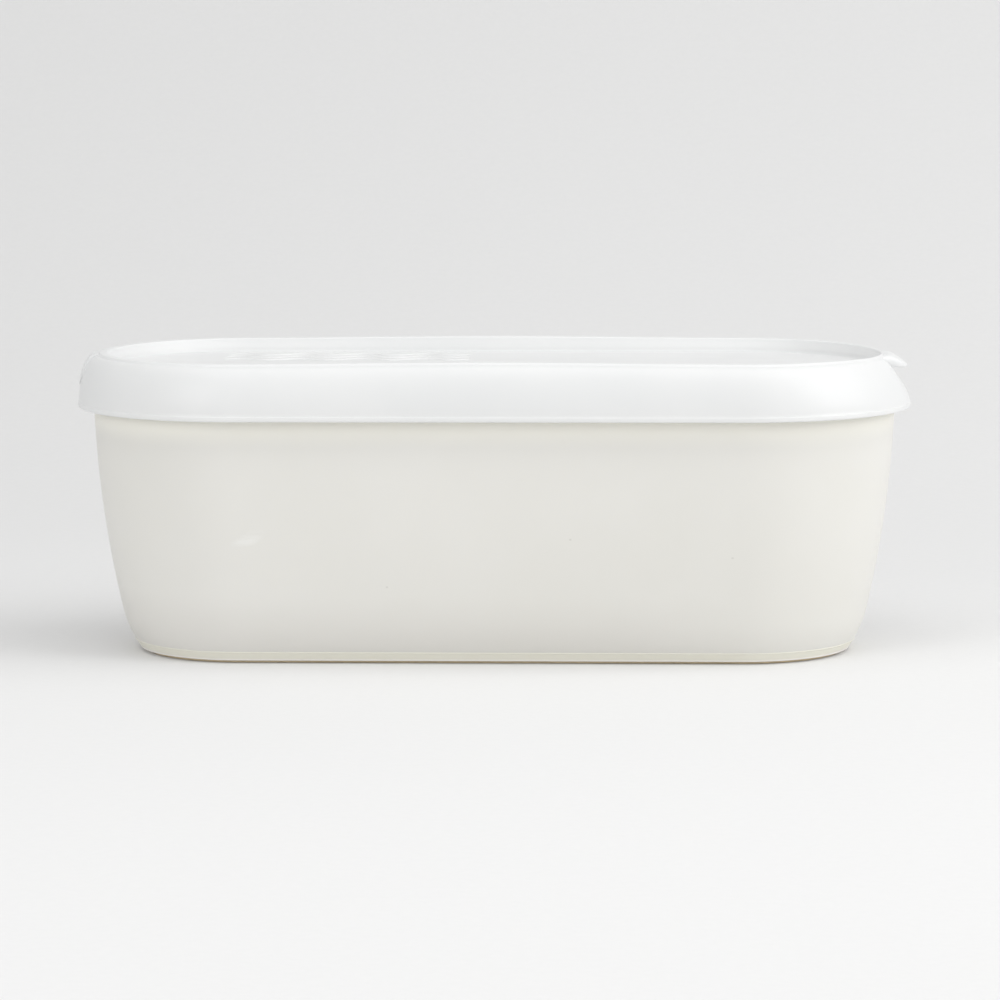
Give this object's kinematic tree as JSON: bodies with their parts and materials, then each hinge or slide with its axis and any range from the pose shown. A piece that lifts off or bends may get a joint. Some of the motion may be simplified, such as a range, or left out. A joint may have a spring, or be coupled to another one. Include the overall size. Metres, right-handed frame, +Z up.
{
  "type": "ice cream tub",
  "caption": "Long round-ended tub on a thin foot, tapering down from a soft pressed-on lid with a raised crest, a sunk top panel, a flared skirt and a pull tab at each end.",
  "frame": {"origin": "on the floor, under the middle of the foot", "axes": "+X along the tub towards the raised tab, +Y across it towards the back of the picture, +Z up"},
  "size_m": [0.29, 0.1168, 0.105],
  "materials": {
    "tub": "satin, warm greyish white",
    "foot": "matte, warm white",
    "lid": "soft satin, white"
  },
  "bodies": {
    "root": {"foot": "foot", "tub": "tub", "lid": "lid"}
  },
  "joints": []
}
